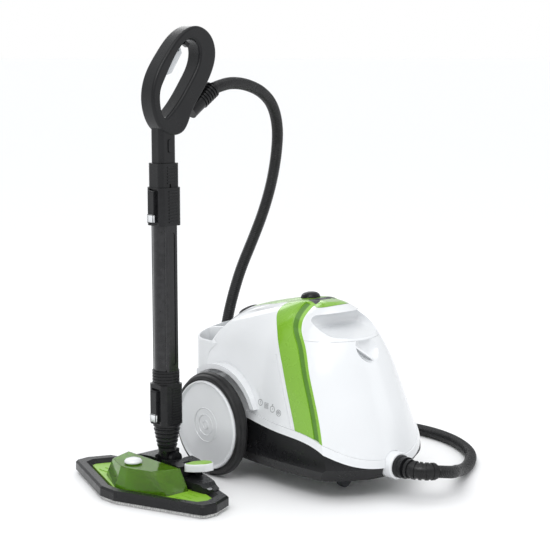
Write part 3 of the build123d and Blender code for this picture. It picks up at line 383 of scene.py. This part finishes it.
def board_green(name):
    """Circuit board with faint tracks."""
    mat, nodes, links, bsdf = shader(name)
    tracks = nodes.new("ShaderNodeTexBrick")
    tracks.inputs["Scale"].default_value = 90.0
    tracks.inputs["Color1"].default_value = (0.01, 0.12, 0.04, 1)
    tracks.inputs["Color2"].default_value = (0.01, 0.16, 0.05, 1)
    tracks.inputs["Mortar"].default_value = (0.02, 0.25, 0.08, 1)
    links.new(coords(nodes, links, 1.0), tracks.inputs["Vector"])
    links.new(tracks.outputs["Color"], bsdf.inputs["Base Color"])
    links.new(spread(nodes, links, noise(nodes, links, 60, 2), 0.25, 0.4), bsdf.inputs["Roughness"])
    return mat


GREEN = (0.19, 0.43, 0.018)
WHITE = (0.76, 0.775, 0.79)
MATERIALS = {
    "white_gloss": plastic("white_gloss", WHITE, 0.97, (0.14, 0.24), 1100, 0.03, 0.45, 1.02),
    "green_gloss": pearl("green_gloss", GREEN, (0.225, 0.475, 0.028)),
    # green_deep: darker green for the strip in the band's groove, partly the strip's own darker green and
    # partly painted shade of the groove
    "green_deep": plastic("green_deep", (0.075, 0.215, 0.008), 0.9, (0.25, 0.35), 900, 0.05, 0.3),
    "green_soft": plastic("green_soft", (0.24, 0.48, 0.03), 0.93, (0.3, 0.42), 900, 0.08, 0.15),
    "black_plastic": grained("black_plastic", (0.009, 0.0092, 0.0102), (0.24, 0.34)),
    "black_gloss": plastic("black_gloss", (0.011, 0.011, 0.0125), 0.85, (0.14, 0.22), 1200,
                           0.03, 0.1, 1.2, 0.35),
    "grey_plastic": plastic("grey_plastic", (0.055, 0.058, 0.065), 0.9, (0.3, 0.42), 1000, 0.08, 0.0, 1.2),
    "light_grey": plastic("light_grey", (0.60, 0.62, 0.64), 0.95, (0.22, 0.34), 900, 0.05, 0.2),
    "tyre_rubber": rubber("tyre_rubber", (0.009, 0.009, 0.0095), (0.34, 0.48)),
    "hose_black": rubber("hose_black", (0.0075, 0.0076, 0.0082), (0.24, 0.34)),
    "boiler_alloy": metal("boiler_alloy", (0.62, 0.63, 0.65), (0.35, 0.5), cast=True),
    "steel": metal("steel", (0.62, 0.62, 0.64), (0.22, 0.38), (0.05, 1, 1)),
    "brass": metal("brass", (0.75, 0.56, 0.24), (0.22, 0.36)),
    "silicone": clear("silicone", (0.85, 0.86, 0.84), (0.25, 0.4), 0.5),
    "board": board_green("board"),
    "tank_clear": clear("tank_clear", (0.82, 0.88, 0.9), (0.2, 0.35), 0.6),
    "tank_green": clear("tank_green", (0.30, 0.62, 0.03), (0.05, 0.11), 0.82),
    "cloth": microfibre("cloth", (0.80, 0.80, 0.78)),
}
for part in frame["record"]["subparts"]:
    node = NODES[part["node"]]
    node.data.materials.clear()
    node.data.materials.append(MATERIALS[part["material_slot"]])


def finish_piece(obj, slot_name, body, *replaced):
    """Gives a visible piece its material, its slot, its body and the nodes it stands for."""
    obj.data.materials.clear()
    obj.data.materials.append(MATERIALS[slot_name])
    if replaced:
        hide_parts(*replaced)
    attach(obj, body)
    return obj


hose.data.materials.append(MATERIALS["hose_black"])

# ---------------------------------------------------------------- smooth shading of CAD nodes
SMOOTH_ANGLE = math.radians(28)
for node in NODES.values():
    mesh = node.data
    mesh.polygons.foreach_set("use_smooth", [True] * len(mesh.polygons))
    if mesh.has_custom_normals:
        continue
    bm = bmesh.new()
    bm.from_mesh(mesh)
    for e in bm.edges:
        e.smooth = not (len(e.link_faces) == 2 and e.calc_face_angle(0) > SMOOTH_ANGLE)
    bm.to_mesh(mesh)
    bm.free()


# ---------------------------------------------------------------- mop cloth
PAD_LOW = 0.0002
PAD_HIGH = 0.0068
TUFT_PUSH = 0.00035


def soft_cloth():
    """The pad under the head: remeshed from its CAD body, with a rolled edge and tufted skin."""
    source = NODES["mop_cloth"]
    mesh = source.data.copy()
    obj = link(bpy.data.objects.new("mop_pad", mesh))
    remesh = obj.modifiers.new("remesh", "REMESH")
    remesh.mode = "VOXEL"
    remesh.voxel_size = 0.0022
    smooth = obj.modifiers.new("smooth", "SMOOTH")
    smooth.iterations = 6
    bpy.context.view_layer.update()
    dg = bpy.context.evaluated_depsgraph_get()
    made = bpy.data.meshes.new_from_object(obj.evaluated_get(dg))
    obj.modifiers.clear()
    obj.data = made
    for v in made.vertices:
        x, y, z = v.co
        wave = math.sin(x * 690 + math.sin(y * 410) * 2.1) * math.sin(y * 730 + math.sin(x * 350) * 1.7)
        v.co += v.normal * (TUFT_PUSH * wave)
        v.co.z = min(max(v.co.z, PAD_LOW), PAD_HIGH)
    made.polygons.foreach_set("use_smooth", [True] * len(made.polygons))
    return obj


pad = soft_cloth()
finish_piece(pad, "cloth", "mop_head", "mop_cloth")


# ---------------------------------------------------------------- white markers of the latches
MARKER_SIZE = (0.0053, 0.0164, 0.0144)
MARKER_X, MARKER_Y = -285.05, -9.5
MARKER_LIFT = 7.0


def marker(name, z, body):
    """Rounded white block that covers the lower end of a latch."""
    bm = bmesh.new()
    bmesh.ops.create_cube(bm, size=1.0)
    bmesh.ops.scale(bm, vec=MARKER_SIZE, verts=bm.verts)
    bmesh.ops.bevel(bm, geom=bm.edges[:], offset=0.0012, segments=3, affect="EDGES")
    bmesh.ops.translate(bm, vec=row(MARKER_X, MARKER_Y, z + MARKER_LIFT), verts=bm.verts)
    mesh = bpy.data.meshes.new(name)
    bm.to_mesh(mesh)
    bm.free()
    mesh.polygons.foreach_set("use_smooth", [True] * len(mesh.polygons))
    return finish_piece(link(bpy.data.objects.new(name, mesh)), "white_gloss", body)


marker("upper_marker", 476, "latch_upper")
marker("lower_marker", 124, "latch_lower")

# ---------------------------------------------------------------- printed marks on the casing
RAY_BACK = 0.12
RAY_REACH = 0.3


def surface_of(*names):
    """Search tree over the surfaces of some nodes, with the mesh that it reads."""
    bm = bmesh.new()
    for n in names:
        bm.from_mesh(NODES[n].data)
    tree = BVHTree.FromBMesh(bm)
    return tree, bm


def ribbon(name, lines, tree, origin, across, up, look, width, slot_name, body, lift=0.00012):
    """Flat printed strokes: each line's points (u, v) in mm are dropped on to the surface along look."""
    verts, faces = [], []
    for line, closed in lines:
        pts = [Vector((u, v)) for u, v in line]
        count = len(pts)
        start = len(verts)
        for k, p in enumerate(pts):
            before = pts[(k - 1) % count] if closed or k else p
            after = pts[(k + 1) % count] if closed or k < count - 1 else p
            run = after - before
            side = Vector((-run.y, run.x)).normalized() * (width / 2)
            for q in (p + side, p - side):
                place = origin + across * (q.x * MM) + up * (q.y * MM)
                hit, normal, _, _ = tree.ray_cast(place - look * RAY_BACK, look, RAY_REACH)
                if hit is None:
                    hit, normal = place, -look
                if normal.dot(look) > 0:
                    normal = -normal
                verts.append(hit + normal * lift)
        steps = count if closed else count - 1
        for k in range(steps):
            a, b = start + 2 * k, start + 2 * ((k + 1) % count)
            faces.append((a, a + 1, b + 1, b))
    obj = mesh_object(name, verts, faces)
    return finish_piece(obj, slot_name, body)


def ring(radius, count=40):
    """Points of a circle around the origin."""
    turns = [2 * math.pi * k / count for k in range(count)]
    return [(radius * math.cos(a), radius * math.sin(a)) for a in turns]


shell_tree, shell_bm = surface_of("rear_shell")
LOOK_RIGHT = Vector((1, 0, 0))
ICON_SPOTS = [(-106, 150), (-122, 147), (-138, 143.5), (-154, 139.5)]
SPIRAL = [(0.6 + 0.288 * a, a) for a in [0.35 * k for k in range(30)]]
ICON_MARKS = [
    [([(0.8, 3), (-1.6, -0.2), (0.6, -0.2), (-0.8, -3.2)], False)],
    [([(-3, 3), (-0.5, 3), (-0.5, 0.5), (-3, 0.5)], True), ([(0.8, 3), (3, 3), (3, 0.5), (0.8, 0.5)], True),
     ([(-3, -0.8), (-0.5, -0.8), (-0.5, -3), (-3, -3)], True),
     ([(0.8, -0.8), (3, -0.8), (3, -3), (0.8, -3)], True)],
    [([(0, -0.4), (1.6, 2.2)], False), ([(0, 5.6), (0, 8.2)], False), ([(-1.6, 8.2), (1.6, 8.2)], False)],
    [([(r * math.cos(a), r * math.sin(a)) for r, a in SPIRAL], False)],
]
SQUARE = [(-4.8, 4.8), (4.8, 4.8), (4.8, -4.8), (-4.8, -4.8)]
for k, ((y, z), marks) in enumerate(zip(ICON_SPOTS, ICON_MARKS)):
    frame_line = (SQUARE, True) if k == 1 else (ring(5.4), True)
    ribbon(f"side_mark_{k}", [frame_line] + marks, shell_tree, row(-150, y, z), Vector((0, -1, 0)),
           Vector((0, 0, 1)), LOOK_RIGHT, 0.75, "grey_plastic", "machine")
shell_bm.free()

# ---------------------------------------------------------------- stage
FAR = 80
floor_corners = [(-FAR, -FAR, 0), (FAR, -FAR, 0), (FAR, FAR, 0), (-FAR, FAR, 0)]
floor = mesh_object("floor", floor_corners, [(0, 1, 2, 3)], smooth=False)
floor.location.z = -0.0004
floor_mat, nodes, links, bsdf = shader("floor")
bsdf.inputs["Base Color"].default_value = (0.95, 0.95, 0.955, 1)
bsdf.inputs["Roughness"].default_value = 0.55
bsdf.inputs["Specular IOR Level"].default_value = 0.25
floor.data.materials.append(floor_mat)

world = bpy.data.worlds.new("studio")
bpy.context.scene.world = world
world.use_nodes = True
sky, sky_links = world.node_tree.nodes, world.node_tree.links
sky["Background"].inputs["Color"].default_value = (0.97, 0.985, 1.0, 1)
sky["Background"].inputs["Strength"].default_value = 0.8
seen = sky.new("ShaderNodeBackground")
seen.inputs["Color"].default_value = (1, 1, 1, 1)
ray = sky.new("ShaderNodeLightPath")
pick = sky.new("ShaderNodeMixShader")
sky_links.new(ray.outputs["Is Camera Ray"], pick.inputs["Fac"])
sky_links.new(sky["Background"].outputs["Background"], pick.inputs[1])
sky_links.new(seen.outputs["Background"], pick.inputs[2])
sky_links.new(pick.outputs["Shader"], sky["World Output"].inputs["Surface"])


def area(name, at, target, size, power):
    """Rectangular lamp aimed at a point."""
    data = bpy.data.lights.new(name, "AREA")
    data.shape = "RECTANGLE"
    data.size, data.size_y = size
    data.energy = power
    lamp = link(bpy.data.objects.new(name, data))
    lamp.location = at
    lamp.rotation_euler = (Vector(target) - Vector(at)).to_track_quat("-Z", "Y").to_euler()
    return lamp


area("key", (-1.6, -1.3, 2.3), (0, 0, 0.25), (1.1, 1.1), 16)
area("fill", (1.9, -2.0, 1.2), (0, 0, 0.3), (1.2, 1.6), 4)
soft_sun = bpy.data.lights.new("overhead", "SUN")
soft_sun.energy = 1.0
soft_sun.angle = math.radians(70)
overhead = link(bpy.data.objects.new("overhead", soft_sun))
overhead.rotation_euler = (math.radians(12), math.radians(-14), 0)
area("rim", (0.9, 1.9, 1.5), (0, 0, 0.4), (1.0, 1.2), 6)
bpy.context.scene.view_settings.view_transform = "Standard"
